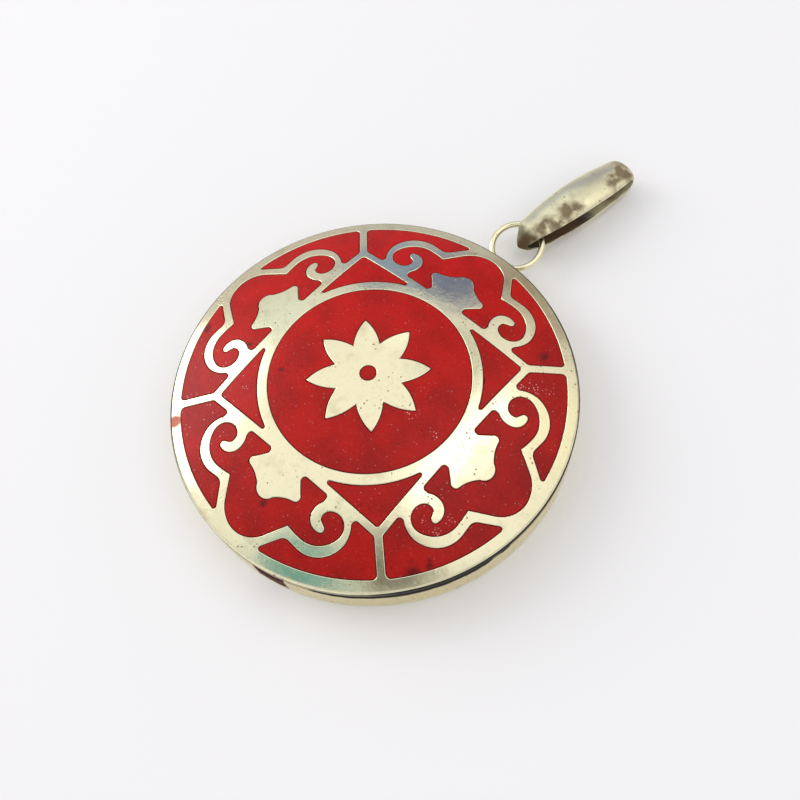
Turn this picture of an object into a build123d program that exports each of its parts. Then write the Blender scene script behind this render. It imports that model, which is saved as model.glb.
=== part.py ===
from build123d import *

import os
from math import asin, cos, degrees, radians, sin, sqrt

os.makedirs("parts", exist_ok=True)

# Round box, in millimetres: the origin is the middle of the back, +Z the face, +Y the hanger
box_radius = 25.0
back_thick = 0.7
back_bevel = 0.3
band_height = 4.2
band_wall = 0.8
band_bevel = 0.4

# Nail notch in the top edge of the band, filled with coral paste
notch_angle = -77.7
notch_radius = 2.25
notch_depth = 1.45
notch_sink = 0.1

# Domed lid: a backing sheet, a pierced sheet on it and a collar that plugs into the band
dome_rise = 4.6
lid_edge = 1.1
edge_bevel = 0.25
foot_bevel = 0.25
fret_thick = 0.7
base_thick = 0.6
collar_wall = 0.5
collar_depth = 2.2
collar_fit = 0.15
collar_lead = 0.15
foot_ledge = 0.4
lid_turn = -1.2

# Coral inlay: it stops short of the metal all round and lies a little under its face
inlay_gap = 0.04
inlay_sink = 0.05

# Tracery: roundel, ring, square, spokes and border
roundel_radius = 12.2
ring_width = 1.25
square_offset = 0.65
bar_width = 0.9
spoke_width = 0.95
border_width = 1.5
lobe_half_span = 9.75
corner_round = 0.45
acute_round = 0.25
spoke_round = 0.6
nose_angle = 8.0
nose_round = 0.3
sill_round_share = 0.06
heel_round_share = 0.05

# Lotus in the roundel
petal_count = 8
petal_reach = 7.4
petal_belly = 1.45
petal_belly_out = 4.6
petal_neck = 0.75
hub_radius = 2.2
hub_dot_radius = 1.0

# Hanging ring, soldered to the band and tipped up from it
hanger_wire = 0.86
hanger_radius = 3.35
hanger_height = 2.35
hanger_standoff = 0.65
hanger_tilt = 9.0
solder_radius = 0.95

# Bail: a half-round strap bent to a long slim loop through the hanging ring, its top bowed up
bail_turn = 12.3
bail_slope = 4.0
bail_length = 16.2
bail_above = 0.9
bail_below = 0.9
bail_bow = 0.55
bail_bow_round = 50.0
bail_heel = 1.4
bail_tip = 2.5
bail_crown = 0.95
bail_edge = 0.35
bail_width = 5.3
bail_end_width = 3.8
bail_end_round = 0.85
bail_heel_round = 0.8
bail_tip_round = 0.3
bail_corner = 1.0

# Folded prayer paper and the thread round it
packet_length = 20.0
packet_width = 14.0
packet_thick = 1.8
packet_round = 0.5
flap_thick = 0.25
flap_apart = 2.0
thread_wide = 0.6
thread_thick = 0.35
knot_radius = 0.5

# Heights and radii that follow from the sizes above
seat_height = back_thick + band_height
rim_height = seat_height + lid_edge
dome_radius = (box_radius ** 2 + dome_rise ** 2) / (2 * dome_rise)
dome_middle = rim_height + dome_rise - dome_radius
top_height = rim_height + dome_rise
band_inside = box_radius - band_wall
collar_outside = band_inside - collar_fit
collar_inside = collar_outside - collar_wall
foot_inside = collar_inside - foot_ledge
ring_edge = roundel_radius + ring_width
square_half = roundel_radius + square_offset
bar_edge = square_half + bar_width
border_radius = box_radius - border_width
lobe_depth = border_radius - bar_edge
hanger_foot = box_radius + hanger_standoff + hanger_wire / 2
lid_plane = Plane.XY.rotated((0, 0, lid_turn))


def domed_block(radius, depth):
    """A round block on the lid's seat, topped by the dome at a depth under the lid's face."""
    with BuildPart() as block:
        with BuildSketch(Plane.XY.offset(seat_height)):
            Circle(radius)
        extrude(amount=top_height)
        with Locations((0, 0, dome_middle)):
            Sphere(dome_radius - depth, rotation=(90, 0, 0), mode=Mode.INTERSECT)
    return block.part


def domed_sheet(top, bottom):
    """A domed sheet as wide as the box, between two depths under the lid's face."""
    with BuildPart() as sheet:
        add(domed_block(box_radius, top))
        with Locations((0, 0, dome_middle)):
            Sphere(dome_radius - bottom, rotation=(90, 0, 0), mode=Mode.SUBTRACT)
    return sheet.part


def lobe_point(across, out):
    """A point of the cloud lobe on +Y: a share of its half span across, and of its depth out from the bar."""
    return (across * lobe_half_span, bar_edge + out * lobe_depth)


def border_point(angle):
    """A point on the border's inner edge, at an angle from the lobe's axis."""
    return (border_radius * sin(radians(angle)), border_radius * cos(radians(angle)))


def round_corners(cell, points, radius):
    """Round the cell's corners that lie at the given points."""
    fillet([cell.vertices().sort_by_distance(p)[0] for p in points], radius)


def lobe_cell():
    """The opening inside a cloud lobe: round head, cusps, scrolled shoulders, and a leaf left standing."""
    with BuildSketch() as cell:
        with BuildLine():
            head = TangentArc(lobe_point(0, 0.985), lobe_point(0.325, 0.81), tangent=(1, 0))
            brow = Line(head @ 1, lobe_point(0.487, 0.545))
            rise = TangentArc(brow @ 1, lobe_point(0.7, 0.562), tangent=(1, 0.16))
            shoulder = TangentArc(rise @ 1, lobe_point(1.046, 0.285), tangent=(1, 0))
            cheek = TangentArc(shoulder @ 1, lobe_point(0.775, 0.118), tangent=shoulder % 1)
            curl = TangentArc(cheek @ 1, lobe_point(0.755, 0.258), tangent=cheek % 1)
            inner = Line(curl @ 1, lobe_point(0.822, 0.287))
            tip = ThreePointArc(inner @ 1, lobe_point(0.858, 0.333), lobe_point(0.815, 0.378))
            hook = ThreePointArc(tip @ 1, lobe_point(0.675, 0.352), lobe_point(0.61, 0.235))
            neck = ThreePointArc(hook @ 1, lobe_point(0.615, 0.15), lobe_point(0.645, 0.085))
            heel = Line(neck @ 1, lobe_point(0.65, 0))
            sill = Line(heel @ 1, lobe_point(0.262, 0))
            stem = Line(sill @ 1, lobe_point(0.268, 0.075))
            flank = Line(stem @ 1, lobe_point(0.378, 0.198))
            wing = ThreePointArc(flank @ 1, lobe_point(0.408, 0.245), lobe_point(0.362, 0.305))
            dip = ThreePointArc(wing @ 1, lobe_point(0.235, 0.35), lobe_point(0.13, 0.425))
            TangentArc(lobe_point(0, 0.51), dip @ 1, tangent=(1, 0))
            mirror(about=Plane.YZ)
        make_face()
        sill_corners = [(side * p.X, p.Y) for p in (sill @ 0, sill @ 1) for side in (1, -1)]
        round_corners(cell, sill_corners, min(corner_round, sill_round_share * lobe_depth))
    return cell.sketch


def border_cell():
    """The opening between a lobe, a spoke and the border, on the lobe's +X side."""
    spoke_angle = 45 - degrees(asin(spoke_width / 2 / border_radius))
    with BuildSketch() as cell:
        with BuildLine():
            brow = Line(border_point(nose_angle), lobe_point(0.507, 0.715))
            cusp = TangentArc(brow @ 1, lobe_point(0.6, 0.664), tangent=brow % 1)
            crest = Line(cusp @ 1, lobe_point(0.75, 0.672))
            shoulder = TangentArc(crest @ 1, lobe_point(1.142, 0.285), tangent=(1, 0))
            neck = ThreePointArc(shoulder @ 1, lobe_point(1.118, 0.17), lobe_point(1.063, 0.075))
            heel = Line(neck @ 1, lobe_point(1.045, 0))
            sill = Line(heel @ 1, (bar_edge - spoke_width / sqrt(2), bar_edge))
            spoke = Line(sill @ 1, border_point(spoke_angle))
            ThreePointArc(spoke @ 1, border_point((nose_angle + spoke_angle) / 2), brow @ 0)
        make_face()
        round_corners(cell, [heel @ 1], min(corner_round, heel_round_share * lobe_depth))
        round_corners(cell, [sill @ 1, spoke @ 1], spoke_round)
        round_corners(cell, [brow @ 0], nose_round)
    return cell.sketch


def corner_cell():
    """The opening between the ring and a corner of the square, on the +X +Y side."""
    with BuildSketch() as cell:
        with Locations((square_half / 2, square_half / 2)):
            Rectangle(square_half, square_half)
        Circle(ring_edge, mode=Mode.SUBTRACT)
        corner = (square_half, square_half)
        acute = cell.vertices().sort_by_distance(corner)[1:]
        fillet(acute, acute_round)
        round_corners(cell, [corner], corner_round)
    return cell.sketch


def lotus(grow):
    """Lotus seen from above: pointed petals round a hub with a pierced dot, grown all round."""
    with BuildSketch() as petal:
        with BuildLine():
            side = ThreePointArc(
                (petal_neck + grow, 0),
                (petal_belly + grow, petal_belly_out),
                (0, petal_reach + 2 * grow),
            )
            Line(side @ 0, (0, 0))
            mirror(about=Plane.YZ)
        make_face()
    with BuildSketch() as flower:
        with PolarLocations(0, petal_count):
            add(petal.sketch)
        Circle(hub_radius + grow)
        Circle(hub_dot_radius - grow, mode=Mode.SUBTRACT)
    return flower.sketch


lobe_turns = [0, 90, 180, 270]
lobe = lobe_cell()
border = border_cell()
corner = corner_cell()

# Flat disc that closes the back of the box
with BuildPart() as back_plate:
    Cylinder(box_radius, back_thick, align=(Align.CENTER, Align.CENTER, Align.MIN))
    chamfer(back_plate.edges().group_by(Axis.Z)[0], back_bevel)
back_plate.part.label = "back_plate"
export_step(back_plate.part, "parts/back_plate.step")

# Strip bent to a ring and soldered to the back plate, with the nail notch in its top edge
notch_plane = Plane(
    origin=(0, 0, seat_height - notch_depth + notch_radius),
    x_dir=(-sin(radians(notch_angle)), cos(radians(notch_angle)), 0),
    z_dir=(cos(radians(notch_angle)), sin(radians(notch_angle)), 0),
)
with BuildPart() as side_band:
    with BuildSketch(Plane.XY.offset(back_thick)):
        Circle(box_radius)
        Circle(band_inside, mode=Mode.SUBTRACT)
    extrude(amount=band_height)
    top_edges = side_band.edges().filter_by(GeomType.CIRCLE).group_by(Axis.Z)[-1]
    chamfer(top_edges.sort_by(SortBy.RADIUS)[-1], band_bevel)
    with BuildSketch(notch_plane):
        Circle(notch_radius)
    extrude(amount=2 * box_radius, mode=Mode.SUBTRACT)
side_band.part.label = "side_band"
export_step(side_band.part, "parts/side_band.step")

# Coral paste in the nail notch, level with the band's inside and a little under its face
with BuildPart() as notch_inlay:
    with BuildSketch(notch_plane):
        Circle(notch_radius - inlay_gap)
    extrude(amount=2 * box_radius)
    with BuildSketch(Plane.XY.offset(back_thick)):
        Circle(box_radius - notch_sink)
        Circle(band_inside, mode=Mode.SUBTRACT)
    extrude(amount=band_height, mode=Mode.INTERSECT)
notch_inlay.part.label = "notch_inlay"
export_step(notch_inlay.part, "parts/notch_inlay.step")

# Wire ring that carries the bail, with its lump of solder on the band
hanger_out = Vector(0, cos(radians(hanger_tilt)), sin(radians(hanger_tilt)))
hanger_middle = Vector(0, hanger_foot, hanger_height) + hanger_out * hanger_radius
hanger_plane = Plane(origin=hanger_middle, x_dir=(1, 0, 0), z_dir=Vector(1, 0, 0).cross(hanger_out))
with BuildPart() as hanger_ring:
    with Locations(hanger_plane):
        Torus(hanger_radius, hanger_wire / 2)
    with Locations((0, box_radius + hanger_standoff / 2, hanger_height)):
        Sphere(solder_radius)
    Cylinder(box_radius, 2 * top_height, mode=Mode.SUBTRACT)
hanger_ring.part.label = "hanger_ring"
export_step(hanger_ring.part, "parts/hanger_ring.step")

# Prayer paper, folded to a flat packet with its last two flaps turned over the top
packet_floor = back_thick + thread_thick
with BuildPart() as prayer_packet:
    with BuildSketch(Plane.XY.offset(packet_floor)):
        RectangleRounded(packet_length, packet_width, packet_round)
    extrude(amount=packet_thick)
    with BuildSketch(Plane.XY.offset(packet_floor + packet_thick)):
        for side in (1, -1):
            with BuildLine():
                Polyline(
                    (side * packet_length / 2, packet_width / 2 - packet_round),
                    (side * flap_apart, 0),
                    (side * packet_length / 2, packet_round - packet_width / 2),
                    close=True,
                )
            make_face()
    extrude(amount=flap_thick)
prayer_packet.part.label = "prayer_packet"
export_step(prayer_packet.part, "parts/prayer_packet.step")

# Thread tied once along and once across the packet, with its knot on top
packet_top = packet_floor + packet_thick + flap_thick
with BuildPart() as packet_thread:
    for length, plane in ((packet_length, Plane.XZ), (packet_width, Plane.YZ)):
        with BuildSketch(plane):
            with Locations((0, (back_thick + packet_top + thread_thick) / 2)):
                Rectangle(length + 2 * thread_thick, packet_top - back_thick + thread_thick)
            with Locations((0, (packet_floor + packet_top) / 2)):
                Rectangle(length, packet_top - packet_floor, mode=Mode.SUBTRACT)
        extrude(amount=thread_wide / 2, both=True)
    with Locations((0, 0, packet_top + thread_thick)):
        Sphere(knot_radius)
packet_thread.part.label = "packet_thread"
export_step(packet_thread.part, "parts/packet_thread.step")

# Domed backing sheet of the lid, with the foot that seats on the band
with BuildPart() as lid_base:
    add(domed_block(box_radius, fret_thick))
    chamfer(lid_base.edges().group_by(Axis.Z)[0], foot_bevel)
    add(domed_block(foot_inside, fret_thick + base_thick), mode=Mode.SUBTRACT)
lid_base.part.label = "lid_base"
export_step(lid_base.part, "parts/lid_base.step")

# Collar soldered under the lid's foot, a push fit in the band
with BuildPart() as lid_collar:
    with BuildSketch(Plane.XY.offset(seat_height - collar_depth)):
        Circle(collar_outside)
        Circle(collar_inside, mode=Mode.SUBTRACT)
    extrude(amount=collar_depth)
    low_edges = lid_collar.edges().filter_by(GeomType.CIRCLE).group_by(Axis.Z)[0]
    chamfer(low_edges.sort_by(SortBy.RADIUS)[-1], collar_lead)
lid_collar.part.label = "lid_collar"
export_step(lid_collar.part, "parts/lid_collar.step")

# Pierced sheet: border, spokes, square, ring and the four cloud lobes with their scrolls and leaves
with BuildPart() as fret_face:
    add(domed_sheet(0, fret_thick))
    rim = fret_face.edges().filter_by(GeomType.CIRCLE).filter_by(Plane.XY).sort_by(Axis.Z)[-1]
    chamfer(rim, edge_bevel)
    with BuildSketch(lid_plane):
        Circle(roundel_radius)
        for turn in lobe_turns:
            add(lobe, rotation=turn)
            add(corner, rotation=turn)
            add(border, rotation=turn)
            add(mirror(border, about=Plane.YZ, mode=Mode.PRIVATE), rotation=turn)
    extrude(amount=2 * top_height, mode=Mode.SUBTRACT)
fret_face.part.label = "fret_face"
export_step(fret_face.part, "parts/fret_face.step")

# Lotus cut from the same sheet, standing in the middle of the roundel
with BuildPart() as centre_lotus:
    with BuildSketch(lid_plane):
        add(lotus(0))
    extrude(amount=2 * top_height)
    add(domed_sheet(0, fret_thick), mode=Mode.INTERSECT)
centre_lotus.part.label = "centre_lotus"
export_step(centre_lotus.part, "parts/centre_lotus.step")

# Coral paste round the lotus, and in its hub
coral_sheet = domed_sheet(inlay_sink, fret_thick)
with BuildPart() as inlay_roundel:
    with BuildSketch(lid_plane):
        Circle(roundel_radius - inlay_gap)
        add(lotus(inlay_gap), mode=Mode.SUBTRACT)
    extrude(amount=2 * top_height)
    add(coral_sheet, mode=Mode.INTERSECT)
inlay_roundel.part.label = "inlay_roundel"
export_step(inlay_roundel.part, "parts/inlay_roundel.step")

# Coral paste in the corners of the square, in the lobes and along the border
coral_corner = offset(corner, amount=-inlay_gap, mode=Mode.PRIVATE)
coral_lobe = offset(lobe, amount=-inlay_gap, mode=Mode.PRIVATE)
coral_border = offset(border, amount=-inlay_gap, mode=Mode.PRIVATE)
coral_border_left = mirror(coral_border, about=Plane.YZ, mode=Mode.PRIVATE)
for index, turn in enumerate(lobe_turns):
    cells = {
        f"inlay_corner_{index + 1}": coral_corner,
        f"inlay_lobe_{index + 1}": coral_lobe,
        f"inlay_border_{2 * index + 1}": coral_border,
        f"inlay_border_{2 * index + 2}": coral_border_left,
    }
    for label, cell in cells.items():
        with BuildPart() as inlay:
            with BuildSketch(lid_plane.rotated((0, 0, turn))):
                add(cell)
            extrude(amount=2 * top_height)
            add(coral_sheet, mode=Mode.INTERSECT)
        inlay.part.label = label
        export_step(inlay.part, f"parts/{label}.step")

# Bail: the half-round strap swept round its loop, then trimmed to its outline from above
ahead = Vector(sin(radians(bail_turn)), cos(radians(bail_turn)), 0)
across = Vector(cos(radians(bail_turn)), -sin(radians(bail_turn)), 0)
along = ahead * cos(radians(bail_slope)) - Vector(0, 0, sin(radians(bail_slope)))
ring_out = hanger_out * cos(radians(bail_turn)) + Vector(sin(radians(bail_turn)), 0, 0)
pivot = hanger_middle + ring_out * hanger_radius
with BuildPart() as bail:
    with BuildLine(Plane(origin=pivot, x_dir=along, z_dir=across)) as loop:
        FilletPolyline(
            (bail_length / 2, -bail_below),
            (bail_length, -bail_below),
            (bail_length, bail_above),
            (bail_length / 2, bail_above + bail_bow),
            (-bail_heel, bail_above),
            (-bail_tip, -bail_below),
            radius=[0, bail_end_round, bail_end_round, bail_bow_round, bail_heel_round, bail_tip_round],
            close=True,
        )
    with BuildSketch(Plane(origin=loop.line @ 0, x_dir=across, z_dir=loop.line % 0)):
        with BuildLine():
            crown = ThreePointArc((bail_width / 2, bail_edge), (0, bail_crown), (-bail_width / 2, bail_edge))
            Polyline(crown @ 1, (-bail_width / 2, 0), (bail_width / 2, 0), crown @ 0)
        make_face()
    sweep(path=loop.line)
    with BuildSketch(Plane(origin=(pivot.X, pivot.Y, 0), x_dir=ahead, z_dir=(0, 0, 1))) as outline:
        far_end = bail_length + bail_crown
        near_end = bail_tip + bail_crown
        half_end = bail_end_width / 2
        with BuildLine():
            sides = ThreePointArc((-bail_heel, half_end), (bail_length / 2, bail_width / 2), (far_end, half_end))
            Polyline((-near_end, 0), sides @ 0)
            Line(sides @ 1, (far_end, 0))
            mirror(about=Plane.XZ)
        make_face()
        round_corners(outline, [(far_end, half_end), (far_end, -half_end)], bail_corner)
    extrude(amount=2 * top_height, mode=Mode.INTERSECT)
bail.part.label = "bail"
export_step(bail.part, "parts/bail.step")
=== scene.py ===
import math

import bmesh
import bpy
from mathutils import Matrix, Vector


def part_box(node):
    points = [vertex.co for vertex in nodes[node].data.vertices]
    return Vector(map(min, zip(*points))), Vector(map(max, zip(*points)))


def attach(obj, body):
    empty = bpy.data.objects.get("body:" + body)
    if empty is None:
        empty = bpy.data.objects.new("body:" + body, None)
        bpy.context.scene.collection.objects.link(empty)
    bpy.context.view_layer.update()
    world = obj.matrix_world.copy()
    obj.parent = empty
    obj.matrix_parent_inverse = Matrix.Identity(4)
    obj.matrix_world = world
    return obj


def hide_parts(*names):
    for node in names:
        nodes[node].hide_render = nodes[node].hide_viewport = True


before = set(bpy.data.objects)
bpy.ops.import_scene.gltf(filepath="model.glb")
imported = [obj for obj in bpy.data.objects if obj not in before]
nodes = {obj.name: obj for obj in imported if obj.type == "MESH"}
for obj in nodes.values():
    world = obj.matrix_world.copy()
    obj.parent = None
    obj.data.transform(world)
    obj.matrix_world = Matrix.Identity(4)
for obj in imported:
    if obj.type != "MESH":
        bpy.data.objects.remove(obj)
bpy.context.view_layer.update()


# Side band: a strip of pale nickel silver bent to a ring and soldered to the back plate.
# Old polish has set dark in a thin line in the seam under the lid. The wider ragged dark on the side towards
# the camera and the darkened edge of the lid's foot are painted shade. Red paste has run down from the nail
# notch.
mm = 0.001
seam_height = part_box("lid_base")[0].z / mm
# Directions of painted shade: along the seam towards the camera, and on the lid's edge away from the window.
camera_side = Vector((0.77, -0.64, 0.0))
shaded_side = Vector((0.985, 0.174, 0.0))
pale_metal = (0.88, 0.84, 0.57, 1.0)
band_tint = (0.80, 0.70, 0.37, 1.0)
tarnish = (0.36, 0.28, 0.13, 1.0)
polish_and_shade_black = (0.018, 0.014, 0.009, 1.0)
# The notch's red is the coral darkened as painted shade on the band's side.
notch_red_in_shade = (0.075, 0.004, 0.005, 1.0)
notch_angle = math.radians(-77.7)
notch_out = Vector((math.cos(notch_angle), math.sin(notch_angle), 0))
notch_across = Vector((-math.sin(notch_angle), math.cos(notch_angle), 0))


class Socket:
    """An output of a material's node, so that shader maths reads as arithmetic."""

    def __init__(self, tree, output):
        self.tree = tree
        self.output = output

    def node(self, kind, settings, inputs, output=0):
        """Add a node, give it its settings and then its inputs, and return one output."""
        added = self.tree.nodes.new("ShaderNode" + kind)
        for name, value in settings.items():
            setattr(added, name, value)
        for name, value in inputs.items():
            if isinstance(value, Socket):
                self.tree.links.new(value.output, added.inputs[name])
            else:
                added.inputs[name].default_value = value
        return Socket(self.tree, added.outputs[output])

    def math(self, operation, *values):
        return self.node("Math", {"operation": operation}, dict(enumerate(values)))

    def __add__(self, other):
        return self.math("ADD", self, other)

    def __sub__(self, other):
        return self.math("SUBTRACT", self, other)

    def __rsub__(self, other):
        return self.math("SUBTRACT", other, self)

    def __mul__(self, other):
        return self.math("MULTIPLY", self, other)

    def __abs__(self):
        return self.math("ABSOLUTE", self)

    __radd__ = __add__
    __rmul__ = __mul__


def new_material(name):
    """A new material, and the place on its piece in millimetres."""
    made = bpy.data.materials.new(name)
    made.use_nodes = True
    tree = made.node_tree
    place = Socket(tree, tree.nodes.new("ShaderNodeTexCoord").outputs["Object"])
    return made, place.node("VectorMath", {"operation": "SCALE"}, {0: place, "Scale": 1 / mm})


def dress(made, looks):
    """Set or link the sockets of a material's surface."""
    surface = made.node_tree.nodes["Principled BSDF"]
    for name, value in looks.items():
        if isinstance(value, Socket):
            made.node_tree.links.new(value.output, surface.inputs[name])
        else:
            surface.inputs[name].default_value = value
    return made


def noise(place, scale, detail=2.0):
    return place.node("TexNoise", {}, {"Vector": place, "Scale": scale, "Detail": detail})


def fade(value, low, high):
    """0 at low and 1 at high, with a soft step between."""
    return value.node("MapRange", {"interpolation_type": "SMOOTHSTEP"}, {0: value, 1: low, 2: high})


def mix(mask, base, other):
    return mask.node("Mix", {"data_type": "RGBA"}, {0: mask, 6: base, 7: other}, 2)


def axis(place, name):
    return place.node("SeparateXYZ", {}, {0: place}, name)


def along(place, direction):
    return place.node("VectorMath", {"operation": "DOT_PRODUCT"}, {0: place, 1: direction}, "Value")


def specks(place, scale, size, share):
    """Scattered round specks: cells per millimetre, their size in cells, and the share that show."""
    cells = {"Vector": place, "Scale": scale}
    near = fade(place.node("TexVoronoi", {}, cells, "Distance"), size, 0.5 * size)
    pick = axis(place.node("TexVoronoi", {}, cells, "Color"), "X")
    return near * fade(pick, 1 - share, 1.02 - share)


def scratches(place, turn, amount):
    """Fine straight scratches in one direction across the face."""
    stretch = {"Vector": place, "Rotation": (0, 0, math.radians(turn)), "Scale": (6.0, 0.16, 1.0)}
    lines = noise(place.node("Mapping", {"vector_type": "TEXTURE"}, stretch), 1.0, 1.0)
    thin = fade(abs(lines - 0.5), 0.014, 0.003)
    return thin * fade(noise(place, 0.22), 0.62 - amount, 0.72 - amount)


def bump(height):
    """Surface normal from a height in millimetres."""
    return height.node("Bump", {}, {"Height": height, "Distance": mm}, "Normal")


def larger(one, other):
    return one.math("MAXIMUM", one, other)


def worn_metal(name, tint, grime_and_shade, sheen, wave, paste=None):
    """Polished nickel silver with pits, scratches and stains, darkened by a given mask of grime and painted
    shade, with paste laid on it, or painted reflections on the bail.
    """
    made, place = new_material(name)
    patchy = fade(noise(place, 0.24), 0.44, 0.58)
    pits = specks(place, 1.7, 0.27, 0.45) * patchy
    mottle = fade(noise(place, 2.2, 5.0), 0.48, 0.72) * (0.35 + patchy * 0.65)
    stain = fade(noise(place, 0.42, 4.0), 0.52, 0.78)
    lines = scratches(place, 24, 0.06) + scratches(place, -58, 0.02)
    dirt_and_shade = grime_and_shade(place)
    tone = mix(stain * 0.3 + mottle * 0.16, tint, tarnish)
    tone = mix(pits * 0.95, tone, tarnish)
    # This dark is real grime in some places and painted shade in others, as the given mask says.
    tone = mix(dirt_and_shade, tone, polish_and_shade_black)
    dull = dirt_and_shade * 0.95
    if paste:
        # On the bail this lays painted reflections on the metal, not paste.
        red, smear = paste(place)
        tone = mix(smear, tone, red)
        dull = larger(dull, smear)
    rough = sheen + noise(place, 1.3, 3.0) * 0.08 + lines * 0.16 + dull * 0.6 + pits * 0.2
    height = noise(place, 0.16) * wave + noise(place, 0.55) * (wave * 0.16)
    height = height - pits * 0.014 - lines * 0.0015 + mottle * 0.003
    return dress(
        made,
        {
            "Base Color": tone,
            "Metallic": 1 - dull,
            "Roughness": rough,
            "Normal": bump(height),
        },
    )


def camera_side_shade(place):
    """How much painted shade the seam gets: 0 round most of the lid, 1 in the middle of the side towards the
    camera.
    """
    return fade(along(place, camera_side) + noise(place, 0.5, 3.0) * 3.0, 22.8, 25.6)


def shaded_edge(place):
    """1 along the side of the lid away from the window, where painted shade darkens its edge, and 0 round the
    rest.
    """
    return fade(along(place, shaded_side) + noise(place, 0.5, 3.0) * 3.0, 10.5, 18.0)


def flat(place):
    """The place as seen from above, without its height."""
    return place.node("VectorMath", {"operation": "MULTIPLY"}, {0: place, 1: (1, 1, 0)})


def apart(place, spot):
    """How far a place is from a spot, in millimetres."""
    return place.node("VectorMath", {"operation": "DISTANCE"}, {0: place, 1: spot}, "Value")


def seam_polish_and_shade(place):
    """Dark in the seam: a thin line of old polish all round, painted shade in a ragged wider band on the
    camera side, and painted shade on the foot's edge.
    """
    over = axis(place, "Z") - seam_height
    wide = camera_side_shade(place) * (0.2 + noise(place, 0.9, 4.0) * 0.9)
    seam = fade(abs(over), 0.26 + wide, 0.1 + wide * 0.7)
    foot = fade(over, 0.02, 0.1) * fade(apart(flat(place), (0, 0, 0)), 24.4, 24.7)
    return larger(seam, foot * (0.55 + shaded_edge(place) * 0.45))


def notch_smear(place):
    """Paste under the nail notch, nearly down to the back plate, in the notch's dark red, which is painted
    shade.
    """
    ragged = noise(place, 1.4, 3.0)
    aside = abs(along(place, notch_across))
    low = fade(axis(place, "Z") + ragged * 0.7, 1.2, 1.6)
    return notch_red_in_shade, fade(aside + ragged * 0.5, 2.45, 2.15) * low * fade(along(place, notch_out), 20.0, 22.0)


band_metal = worn_metal("band metal", band_tint, seam_polish_and_shade, sheen=0.2, wave=0.05, paste=notch_smear)
nodes["side_band"].data.materials.clear()
nodes["side_band"].data.materials.append(band_metal)


# Back plate: a flat disc of the same sheet, which closes the back of the box.
# It lies on the wearer's chest, so it is the most scratched face.
def no_grime(place):
    return fade(noise(place, 0.8, 3.0), 0.7, 0.9) * 0.2


plain_metal = worn_metal("plain metal", pale_metal, no_grime, sheen=0.24, wave=0.06)
nodes["back_plate"].data.materials.clear()
nodes["back_plate"].data.materials.append(plain_metal)


# Lid base and collar: the domed sheet under the pierced face, with the foot that sits on the band,
# and the ring of strip soldered under it that plugs into the band. Only the foot's edge shows.
foot_metal = worn_metal("foot metal", band_tint, seam_polish_and_shade, sheen=0.2, wave=0.05)
for name in ("lid_base", "lid_collar"):
    nodes[name].data.materials.clear()
    nodes[name].data.materials.append(foot_metal)


# Hanging ring: a ring of round wire, soldered to the band with a lump of silver solder.
# The solder and the wire next to it stay brown from the flame.
solder_place = Vector((0.0, 25.3, 2.35))


def solder_grime(place):
    return fade(apart(place, solder_place) + noise(place, 1.2) * 1.2, 2.6, 1.0) * 0.75


ring_metal = worn_metal("ring metal", pale_metal, solder_grime, sheen=0.18, wave=0.03)
nodes["hanger_ring"].data.materials.clear()
nodes["hanger_ring"].data.materials.append(ring_metal)


# Pierced face of the lid: one domed sheet of nickel silver sawn out to border, spokes, square, ring
# and four cloud lobes, and the lotus cut from the same sheet. Its edges are eased from polishing. Along
# the outer edge a thin dark line, a dark wall and a soft darkening are painted shade.
box_radius = 25.0 * mm
dome_rise = 4.6 * mm
lid_edge = 1.1 * mm
rim_height = seam_height * mm + lid_edge
dome_radius = (box_radius ** 2 + dome_rise ** 2) / (2 * dome_rise)
dome_middle = Vector((0, 0, rim_height + dome_rise - dome_radius))
coral_red = (0.54, 0.006, 0.0018, 1.0)
smear_place = Vector((-15.9, -18.2, 0.0))
merge_gap = 0.004 * mm
skin_gap = 0.01 * mm


def eased_copy(node, depth, width, drop):
    """A copy of a piece of the lid, with the edge of its face eased and marked, as a new mesh."""
    shape = bmesh.new()
    shape.from_mesh(node.data)
    bmesh.ops.remove_doubles(shape, verts=shape.verts, dist=merge_gap)
    edge = shape.verts.layers.float.new("edge")
    skin = dome_radius - depth
    on_dome = {v for v in shape.verts if abs((v.co - dome_middle).length - skin) < skin_gap}
    face = [f for f in shape.faces if f.normal.z > 0.5 and on_dome.issuperset(f.verts)]
    bmesh.ops.inset_region(shape, faces=face, use_boundary=True, use_even_offset=True, thickness=width)
    inner = {v for f in face for v in f.verts}
    for vert in shape.verts:
        if vert in inner:
            vert.co = dome_middle + (vert.co - dome_middle).normalized() * skin
        else:
            vert[edge] = 1.0
            if abs((vert.co - dome_middle).length - skin) < skin_gap:
                vert.co = dome_middle + (vert.co - dome_middle).normalized() * (skin - drop)
    shape.verts.index_update()
    level = {v.index for v in inner}
    mesh = bpy.data.meshes.new(node.name + " face")
    shape.to_mesh(mesh)
    shape.free()
    mesh.shade_smooth()
    normals = []
    for corner in mesh.loops:
        point = mesh.vertices[corner.vertex_index]
        normals.append((point.co - dome_middle).normalized() if point.index in level else (0, 0, 0))
    mesh.normals_split_custom_set(normals)
    return mesh


def stand_in(name, mesh, made, body):
    """Show a new mesh in place of the plain piece of that name."""
    mesh.materials.clear()
    mesh.materials.append(made)
    piece = bpy.data.objects.new(name + "_worn", mesh)
    bpy.context.scene.collection.objects.link(piece)
    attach(piece, body)
    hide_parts(name)
    return piece


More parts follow.
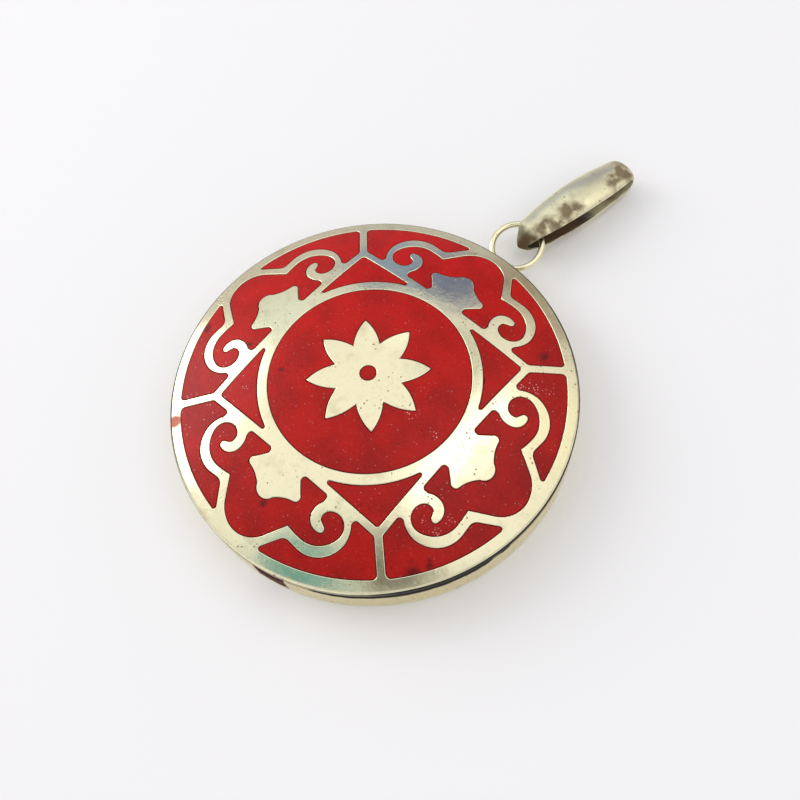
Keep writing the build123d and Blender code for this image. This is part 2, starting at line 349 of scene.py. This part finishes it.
def rim_shade(place):
    """Painted shade along the outer edge: a thin dark line away from the camera side, the wall darkest away
    from the window, and a soft shade all round.
    """
    out = apart(flat(place), (0, 0, 0))
    ragged = noise(place, 0.9, 4.0)
    far_from_camera = fade(along(place, camera_side), 12.0, -2.0)
    line = fade(out + ragged * 0.14, 24.73, 24.83) * far_from_camera
    dark = shaded_edge(place)
    wall = fade(out + dark * 0.11, 24.94, 24.98) * (0.6 + dark * 0.4)
    shade = fade(out + ragged * 0.8, 24.1, 25.4) * (0.03 + camera_side_shade(place) * 0.05)
    return larger(line, wall) * 0.95 + shade


def border_smear(place):
    """Red paste left over the border where an inlay was overfilled."""
    reach = apart(flat(place), smear_place) + noise(place, 0.9, 4.0) * 0.9
    return coral_red, fade(reach, 1.5, 1.0) * 0.75


lid_metal = worn_metal("lid metal", pale_metal, rim_shade, sheen=0.16, wave=0.08, paste=border_smear)
for name in ("fret_face", "centre_lotus"):
    eased = eased_copy(nodes[name], depth=0.0, width=0.1 * mm, drop=0.06 * mm)
    stand_in(name, eased, lid_metal, "lid")


# Coral inlay: red coral grit set in paste, pressed into every opening and ground level with the metal.
# Grains at the surface glitter, with pale pink glints painted in a few patches where lamps catch them, and
# hands have left a few dark smudges. The paste is painted darker towards the camera side as shade, and its
# edges are darkened, partly stain and partly painted shade where it sinks under the metal.
coral_deep = (0.25, 0.003, 0.0015, 1.0)
coral_light = (0.58, 0.035, 0.04, 1.0)
glint_pink = (0.85, 0.42, 0.45, 1.0)
coral_smudge = (0.045, 0.003, 0.003, 1.0)
edge_stain_and_shade = (0.075, 0.002, 0.002, 1.0)
coral_shade_side = Vector((0.8, -0.6, 0.0))
smudge_spots = (
    ((-14.9, -5.5), 0.5),
    ((-21.9, -6.5), 0.8),
    ((1.2, -5.6), 0.45),
    ((-8.8, -5.8), 0.5),
    ((14.0, 15.8), 0.8),
    ((19.4, -12.4), 0.8),
    ((18.5, -14.2), 1.2),
    ((0.4, -19.0), 0.6),
)
# Patches of painted highlights: pale pink glints where lamps catch the grains, on the lid in millimetres.
glint_spots = (
    ((14.5, 11.3), 1.5),
    ((15.9, 11.6), 1.2),
    ((17.5, 12.0), 1.1),
    ((15.7, -8.3), 1.4),
    ((18.3, -7.2), 0.9),
    ((17.7, -9.6), 1.1),
    ((7.2, -0.8), 0.8),
    ((10.8, -0.9), 1.1),
    ((-16.6, -14.9), 1.0),
)


def marked(place, ragged, spots):
    """1 at each of some places on the lid, fading to 0 with ragged edges."""
    marks = 0.0
    for (x, y), size in spots:
        gap = apart(flat(place), (x, y, 0))
        marks = marks + fade(gap + ragged * (2.0 * size), 2.1 * size, 1.1 * size)
    return marks


def coral_paste(name, tint, shade):
    made, place = new_material(name)
    grain = noise(place, 3.4, 4.0)
    cloud = fade(noise(place, 0.22, 3.0), 0.32, 0.7)
    # Painted shade: the paste darker towards the camera side.
    side_shade = fade(along(place, coral_shade_side), -14.0, 20.0)
    ragged = noise(place, 1.1, 4.0)
    smudge = fade(noise(place, 0.5, 4.0), 0.68, 0.8) * 0.5 + marked(place, ragged, smudge_spots) * 0.7
    dark = specks(place, 2.0, 0.24, 0.24) * fade(noise(place, 0.4), 0.3, 0.6)
    # Painted highlights: pale pink glints in the listed patches.
    glint_patch = marked(place, ragged, glint_spots)
    painted_glints = specks(place, 3.2, 0.36, 0.5) * glint_patch
    glints = larger(specks(place, 3.0, 0.28, 0.14), painted_glints)
    mark = place.node("Attribute", {"attribute_name": "edge"}, {}, "Fac")
    rim = fade(mark, 0.25, 0.9)
    tone = mix(cloud * 0.45 + side_shade * 0.4, tint, shade)
    tone = mix(fade(grain, 0.42, 0.25) * 0.45, tone, shade)
    tone = mix(fade(grain, 0.52, 0.75) * 0.3 + glints * 0.25, tone, coral_light)
    tone = mix(smudge + dark * 0.6, tone, coral_smudge)
    tone = mix(painted_glints * 0.75, tone, glint_pink)
    # Dark edges: partly stained paste, partly painted shade where the paste sinks under the metal.
    tone = mix(rim * 0.85, tone, edge_stain_and_shade)
    height = grain * 0.03 + noise(place, 0.3) * 0.05 + glints * 0.02 - dark * 0.015
    return dress(
        made,
        {
            "Base Color": tone,
            "Roughness": 0.27 + grain * 0.16 + rim * 0.3,
            "Specular IOR Level": 0.2,
            "Coat Weight": glints * (1 - rim),
            "Coat IOR": 2.0,
            "Coat Roughness": 0.08,
            "Normal": bump(height),
        },
    )


coral = coral_paste("coral paste", coral_red, coral_deep)
inlay_sink = 0.05 * mm
for name in [n for n in nodes if n.startswith("inlay_")]:
    eased = eased_copy(nodes[name], depth=inlay_sink, width=0.14 * mm, drop=0.05 * mm)
    stand_in(name, eased, coral, "lid")


# Notch patch: the same paste pressed into the nail notch at the top of the side band and ground level
# with it, written much darker as painted shade on the side of the band.
notch_deep_in_shade = (0.03, 0.002, 0.003, 1.0)
notch_coral_in_shade = coral_paste("notch coral in shade", notch_red_in_shade, notch_deep_in_shade)
nodes["notch_inlay"].data.materials.clear()
nodes["notch_inlay"].data.materials.append(notch_coral_in_shade)


# Bail: a half-round strap of the same metal, bent to a long slim loop through the hanging ring.
# Its top is bowed up and bright from handling, and its end over the ring is filed to a point. Painted shade
# darkens the inside of the loop and the end over the ring, the far end is brown with tarnish, and brown
# patches along the top are painted reflections.
bail_length = 16.2
bail_start = (8.1, -0.9)
bail_bends = (
    ((16.2, -0.9), 0.85),
    ((16.2, 0.9), 0.85),
    ((8.1, 1.45), 30.0),
    ((-1.4, 0.9), 0.8),
    ((-2.5, -0.9), 0.35),
)
bail_crown = 0.95
bail_edge = 0.35
bail_half = 2.65
bail_end_half = 1.9
bail_middle = 8.1
bail_far = 17.15
bail_heel = -1.4
bail_near = -3.45
bail_corner = 1.0
bail_tip_half = 0.08
weld_gap = 0.001
bail_turn = math.radians(12.3)
bail_slope = math.radians(4.0)
bail_pivot = Vector((0.7137, 32.6216, 3.3861))
# Colour and places of painted reflections on the bail's top, in millimetres.
reflection_brown = (0.12, 0.06, 0.014, 1.0)
reflection_spots = (
    ((0.8, 29.7), 1.6),
    ((2.1, 31.8), 1.6),
    ((2.4, 33.9), 1.8),
    ((2.8, 36.0), 1.8),
    ((3.1, 38.1), 1.8),
    ((4.5, 44.6), 1.4),
    ((4.4, 46.7), 1.8),
    ((3.7, 47.9), 1.7),
)


def carry(shape, edges, way, steps):
    """Carry a profile along a straight way in even steps, and return its last edges."""
    for step in range(steps):
        made = bmesh.ops.extrude_edge_only(shape, edges=edges)["geom"]
        ring = [g for g in made if isinstance(g, bmesh.types.BMVert)]
        bmesh.ops.translate(shape, verts=ring, vec=way / steps)
        edges = [g for g in made if isinstance(g, bmesh.types.BMEdge) and g.is_boundary]
    return edges


def bend(shape, edges, middle, angle, steps):
    """Bend a profile round a middle in the XY plane, and return its last edges."""
    ring = list({v for e in edges for v in e.verts})
    made = bmesh.ops.spin(shape, geom=ring + edges, cent=middle, axis=(0, 0, 1), angle=angle, steps=steps)
    return [g for g in made["geom_last"] if isinstance(g, bmesh.types.BMEdge)]


def swept_loop(shape, edges, start, bends, steps, bend_steps=6):
    """Sweep a profile left-handed round a closed loop in the XY plane, with a bend at each corner."""
    here = Vector((*start, 0))
    corners = [Vector((*spot, 0)) for spot, radius in bends]
    for index, corner in enumerate(corners):
        radius = bends[index][1]
        before = (corner - corners[index - 1]).normalized()
        after = (corners[(index + 1) % len(corners)] - corner).normalized()
        angle = before.angle(after)
        setback = radius * math.tan(angle / 2)
        entry = corner - before * setback
        edges = carry(shape, edges, entry - here, steps)
        edges = bend(shape, edges, entry + Vector((-before.y, before.x, 0)) * radius, angle, bend_steps)
        here = corner + after * setback
    carry(shape, edges, Vector((*start, 0)) - here, steps)
    bmesh.ops.remove_doubles(shape, verts=shape.verts, dist=weld_gap)
    bmesh.ops.recalc_face_normals(shape, faces=shape.faces)


def bail_half_width(out):
    """Half the strap's width at a distance out from the hanging ring's wire."""
    if out < bail_heel:
        return max(bail_tip_half, bail_end_half * (out - bail_near) / (bail_heel - bail_near))
    side = bail_half - (bail_half - bail_end_half) * ((out - bail_middle) / (bail_far - bail_middle)) ** 2
    past = min(max(0.0, out - bail_far + bail_corner), bail_corner)
    return side - bail_corner + math.sqrt(bail_corner ** 2 - past ** 2)


shape = bmesh.new()
inside = shape.verts.layers.float.new("inside")
strap = bmesh.ops.create_circle(shape, segments=28, radius=1.0)["verts"]
for vert in strap:
    if vert.co.y > 0:
        out = bail_edge / 2 + (bail_crown - bail_edge / 2) * vert.co.y
    else:
        out = bail_edge / 2 * (1 - min(1.0, -4 * vert.co.y))
    vert[inside] = 1.0 if out < 0.1 * bail_edge else 0.0
    vert.co = (bail_start[0], bail_start[1] - out, vert.co.x)
swept_loop(shape, shape.edges[:], bail_start, bail_bends, steps=7)
for vert in shape.verts:
    vert.co.z *= bail_half_width(vert.co.x)
ahead = Vector((math.sin(bail_turn), math.cos(bail_turn), 0))
across = Vector((math.cos(bail_turn), -math.sin(bail_turn), 0))
outward = ahead * math.cos(bail_slope) - Vector((0, 0, math.sin(bail_slope)))
lie = Matrix((outward, across.cross(outward), across)).transposed().to_4x4()
lie = Matrix.Scale(mm, 4) @ Matrix.Translation(bail_pivot) @ lie
bmesh.ops.transform(shape, matrix=lie, verts=shape.verts)
bail_mesh = bpy.data.meshes.new("bail strap")
shape.to_mesh(bail_mesh)
shape.free()
bail_mesh.shade_smooth()


def bail_shade_and_tarnish(place):
    """Painted shade inside the loop and on the end over the ring, and brown tarnish towards the far end."""
    within = place.node("Attribute", {"attribute_name": "inside"}, {}, "Fac")
    out = along(place, outward) - bail_pivot.dot(outward)
    ragged = noise(place, 0.8, 3.0)
    far = fade(out + ragged * 3.0, bail_length - 1.6, bail_length + 2.6)
    near = fade(out + ragged * 1.6, bail_heel + 1.4, bail_heel - 0.2)
    packed = 0.25 + fade(out + ragged * 4.0, bail_middle + 4.5, bail_middle + 0.5) * 0.7
    within = fade(within, 0.3, 0.9) * packed
    return larger(within, near * 0.75) + far * 0.2


def bail_reflections(place):
    """Painted reflections: brown patches along the top of the strap."""
    ragged = noise(place, 0.6, 3.0)
    patches = marked(place, ragged, reflection_spots)
    return reflection_brown, patches.math("MINIMUM", patches, 1.0) * 0.82


bail_metal = worn_metal("bail metal", pale_metal, bail_shade_and_tarnish, sheen=0.3, wave=0.2, paste=bail_reflections)
bail = stand_in("bail", bail_mesh, bail_metal, "bail")
finish = bail.modifiers.new("smooth", "SUBSURF")
finish.levels = 2
finish.render_levels = 2


# Prayer packet: a strip of handmade paper, folded over and over to a flat packet, with two flaps turned
# over its top. It lies loose in the box.
packet_length = 20.0
packet_width = 14.0
packet_floor = 1.05
packet_thick = 1.8
packet_folds = 6
fold_slack = 0.22
leaf_slack = 0.12
flap_half = 6.3
flap_thick = 0.25
flap_apart = 2.0
paper_cream = (0.80, 0.70, 0.50, 1.0)
paper_fibre = (0.52, 0.40, 0.24, 1.0)
shape = bmesh.new()
fold_thick = packet_thick / packet_folds
for fold in range(packet_folds):
    slack = fold_slack * (fold % 2) + leaf_slack * (fold % 3)
    leaf = bmesh.ops.create_cube(shape, size=1.0)["verts"]
    size = (packet_length - slack, packet_width - 0.6 * slack, 0.96 * fold_thick)
    bmesh.ops.scale(shape, verts=leaf, vec=size)
    bmesh.ops.translate(shape, verts=leaf, vec=(0, 0, packet_floor + (fold + 0.5) * fold_thick))
    edges = list({e for v in leaf for e in v.link_edges})
    bmesh.ops.bevel(
        shape, geom=edges, offset=0.42 * fold_thick, affect="EDGES", segments=3, profile=0.5, material=-1
    )
for side in (1, -1):
    end = side * packet_length / 2
    spots = ((end, flap_half), (side * flap_apart, 0), (end, -flap_half))
    top = packet_floor + packet_thick
    flap = shape.faces.new([shape.verts.new((x, y, top)) for x, y in spots])
    raised = bmesh.ops.extrude_face_region(shape, geom=[flap])["geom"]
    rim = [g for g in raised if isinstance(g, bmesh.types.BMVert)]
    bmesh.ops.translate(shape, verts=rim, vec=(0, 0, flap_thick))
bmesh.ops.recalc_face_normals(shape, faces=shape.faces)
bmesh.ops.scale(shape, verts=shape.verts, vec=(mm, mm, mm))
packet_mesh = bpy.data.meshes.new("folded paper")
shape.to_mesh(packet_mesh)
shape.free()
paper, place = new_material("handmade paper")
fibres = fade(noise(place, 3.0, 6.0), 0.52, 0.7)
tone = mix(fibres * 0.5 + fade(noise(place, 0.3), 0.5, 0.8) * 0.4, paper_cream, paper_fibre)
dress(paper, {"Base Color": tone, "Roughness": 0.9, "Normal": bump(noise(place, 2.5, 5.0) * 0.06)})
stand_in("prayer_packet", packet_mesh, paper, "box")


# Thread: flat red cotton tied once along and once across the packet, with a knot and two loose ends
# on top. It keeps the packet folded.
thread_half = 0.3
thread_thick = 0.35
thread_corner = 0.25
knot_radius = 0.5
knot_flat = (1.3, 1.0, 0.55)
knot_lift = 0.1
end_length = 3.6
end_middle = 2.0
end_turns = (28, 152)
thread_low = packet_floor - thread_thick / 2
thread_high = packet_floor + packet_thick + flap_thick + thread_thick / 2
thread_red = (0.36, 0.02, 0.02, 1.0)
thread_dark = (0.14, 0.008, 0.01, 1.0)
shape = bmesh.new()
for length, turn in ((packet_length, 0), (packet_width, 90)):
    loop = bmesh.new()
    reach = (length + thread_thick) / 2
    corners = ((reach, thread_low), (reach, thread_high), (-reach, thread_high), (-reach, thread_low))
    for vert in bmesh.ops.create_circle(loop, segments=12, radius=1.0)["verts"]:
        vert.co = (0, thread_low + vert.co.y * thread_thick / 2, vert.co.x * thread_half)
    swept_loop(loop, loop.edges[:], (0, thread_low), [(c, thread_corner) for c in corners], steps=4)
    stand = Matrix.Rotation(math.radians(turn), 4, "Z") @ Matrix.Rotation(math.radians(90), 4, "X")
    bmesh.ops.transform(loop, matrix=stand, verts=loop.verts)
    part = bpy.data.meshes.new("thread loop")
    loop.to_mesh(part)
    loop.free()
    shape.from_mesh(part)
    bpy.data.meshes.remove(part)
knot = bmesh.ops.create_icosphere(shape, subdivisions=3, radius=knot_radius)["verts"]
bmesh.ops.scale(shape, verts=knot, vec=knot_flat)
bmesh.ops.translate(shape, verts=knot, vec=(0, 0, thread_high + knot_lift))
for turn in end_turns:
    end = bmesh.ops.create_cone(
        shape,
        cap_ends=True,
        segments=12,
        radius1=0.22,
        radius2=0.26,
        depth=end_length,
        matrix=Matrix.Rotation(math.radians(90), 4, "Y"),
    )["verts"]
    bmesh.ops.translate(shape, verts=end, vec=(end_middle, 0, thread_high))
    bmesh.ops.rotate(shape, verts=end, cent=(0, 0, 0), matrix=Matrix.Rotation(math.radians(turn), 3, "Z"))
bmesh.ops.recalc_face_normals(shape, faces=shape.faces)
bmesh.ops.scale(shape, verts=shape.verts, vec=(mm, mm, mm))
thread_mesh = bpy.data.meshes.new("tied thread")
shape.to_mesh(thread_mesh)
shape.free()
thread_mesh.shade_smooth()
cotton, place = new_material("twisted cotton")
turns = along(place, (1, 1, 1)) * 9.0
twist = fade(turns.math("SINE", turns), -0.9, 0.4)
tone = mix(twist, thread_dark, thread_red)
dress(cotton, {"Base Color": tone, "Roughness": 0.85, "Normal": bump(twist * 0.06)})
stand_in("packet_thread", thread_mesh, cotton, "box")


# Floor: a plain white sheet under the pendant, wide enough to fill the picture.
# It catches the shadows and stays where it is when the lid and the bail move.
floor_white = (0.95, 0.95, 0.955, 1.0)
floor_half = 1.5
sheet = bpy.data.meshes.new("floor")
shape = bmesh.new()
bmesh.ops.create_grid(shape, x_segments=1, y_segments=1, size=floor_half)
shape.to_mesh(sheet)
shape.free()
floor = bpy.data.objects.new("floor", sheet)
bpy.context.scene.collection.objects.link(floor)
white_sheet = new_material("white sheet")[0]
sheet.materials.append(dress(white_sheet, {"Base Color": floor_white, "Roughness": 0.9}))


# Light: a soft window on the left, a weak strip lamp overhead, and a pale room. The room's blue, brown,
# teal and dark areas are what the polished metal of the lid shows.
world = bpy.data.worlds.new("room")
bpy.context.scene.world = world
world.use_nodes = True
tree = world.node_tree
look = Socket(tree, tree.nodes.new("ShaderNodeTexCoord").outputs["Generated"])


def heading(azimuth, elevation):
    """The direction at an azimuth from +X and a height over the floor, in degrees."""
    a, e = math.radians(azimuth), math.radians(elevation)
    return Vector((math.cos(a) * math.cos(e), math.sin(a) * math.cos(e), math.sin(e)))


def room_patch(azimuth, elevation, inner, outer):
    """1 within an angle of a direction, fading to 0 at a wider angle."""
    near = along(look, heading(azimuth, elevation))
    return fade(near, math.cos(math.radians(outer)), math.cos(math.radians(inner)))


wall_light = (0.59, 0.56, 0.59, 1.0)
ceiling_light = (1.04, 1.015, 1.02, 1.0)
dark_blue = (0.05, 0.08, 0.30, 1.0)
sky_blue = (0.16, 0.28, 0.58, 1.0)
slate = (0.20, 0.22, 0.24, 1.0)
pale_blue = (0.78, 0.95, 1.05, 1.0)
brown = (0.22, 0.14, 0.07, 1.0)
deep_brown = (0.20, 0.13, 0.06, 1.0)
moss = (0.14, 0.19, 0.17, 1.0)
white = (1.25, 1.25, 1.22, 1.0)
warm_white = (1.12, 1.06, 0.90, 1.0)
teal = (0.04, 0.30, 0.34, 1.0)
dark_green = (0.06, 0.08, 0.07, 1.0)
dark_brown = (0.07, 0.06, 0.04, 1.0)
room = mix(fade(axis(look, "Z"), 0.2, 0.9), wall_light, ceiling_light)
for azimuth, elevation, inner, outer, share, light in (
    (117, 32, 7, 13, 0.92, dark_blue),
    (133, 28, 6, 12, 0.9, sky_blue),
    (134, 38, 2, 6, 0.6, slate),
    (162, 36, 5, 11, 0.5, pale_blue),
    (98, 22, 5, 15, 0.7, brown),
    (87, 29, 2, 6, 0.7, deep_brown),
    (106, 55, 4, 9, 0.85, moss),
    (126, 48, 5, 10, 0.95, white),
    (58, 45, 8, 17, 0.7, warm_white),
    (264, 56, 7, 15, 0.95, teal),
    (300, 70, 4, 10, 0.88, dark_green),
    (315, 63, 6, 12, 0.92, dark_brown),
):
    room = mix(room_patch(azimuth, elevation, inner, outer) * share, room, light)
tree.links.new(room.output, tree.nodes["Background"].inputs["Color"])


def lamp(name, azimuth, elevation, roll, distance, width, height, radiance):
    """A soft rectangular lamp that faces the pendant, given by the brightness of its face."""
    way = heading(azimuth, elevation)
    light = bpy.data.lights.new(name, "AREA")
    light.shape = "RECTANGLE"
    light.size = width
    light.size_y = height
    light.energy = radiance * math.pi * width * height
    stand = bpy.data.objects.new(name, light)
    stand.matrix_world = (
        Matrix.Translation(way * distance)
        @ way.to_track_quat("Z", "Y").to_matrix().to_4x4()
        @ Matrix.Rotation(math.radians(roll), 4, "Z")
    )
    bpy.context.scene.collection.objects.link(stand)


lamp("window", 195, 30, roll=0, distance=0.7, width=0.40, height=0.36, radiance=3.0)
lamp("strip lamp", 60, 71, roll=30, distance=0.6, width=0.08, height=0.40, radiance=1.3)


# Camera: where the photograph was taken from, in the pendant's own frame and in millimetres.
# Turn and rise say from which side and how steeply it looks down, and roll how far it is tilted.
picture_place = Vector((37.258, -28.146, 98.518))
picture_turn = math.radians(49.06)
picture_rise = math.radians(64.27)
picture_roll = math.radians(-9.75)
back = Vector(
    (
        math.sin(picture_turn) * math.cos(picture_rise),
        -math.cos(picture_turn) * math.cos(picture_rise),
        math.sin(picture_rise),
    )
)
right = Vector((math.cos(picture_turn), math.sin(picture_turn), 0))
facing = Matrix((right, back.cross(right), back)).transposed()
eye = bpy.data.cameras.new("camera")
eye.lens = 38.25
eye.sensor_width = 36.0
camera = bpy.data.objects.new("camera", eye)
camera.matrix_world = (
    Matrix.Translation(picture_place * mm)
    @ facing.to_4x4()
    @ Matrix.Rotation(picture_roll, 4, "Z")
)
bpy.context.scene.collection.objects.link(camera)
bpy.context.scene.camera = camera
eye.clip_start = 0.005
bpy.context.scene.view_settings.view_transform = "Standard"
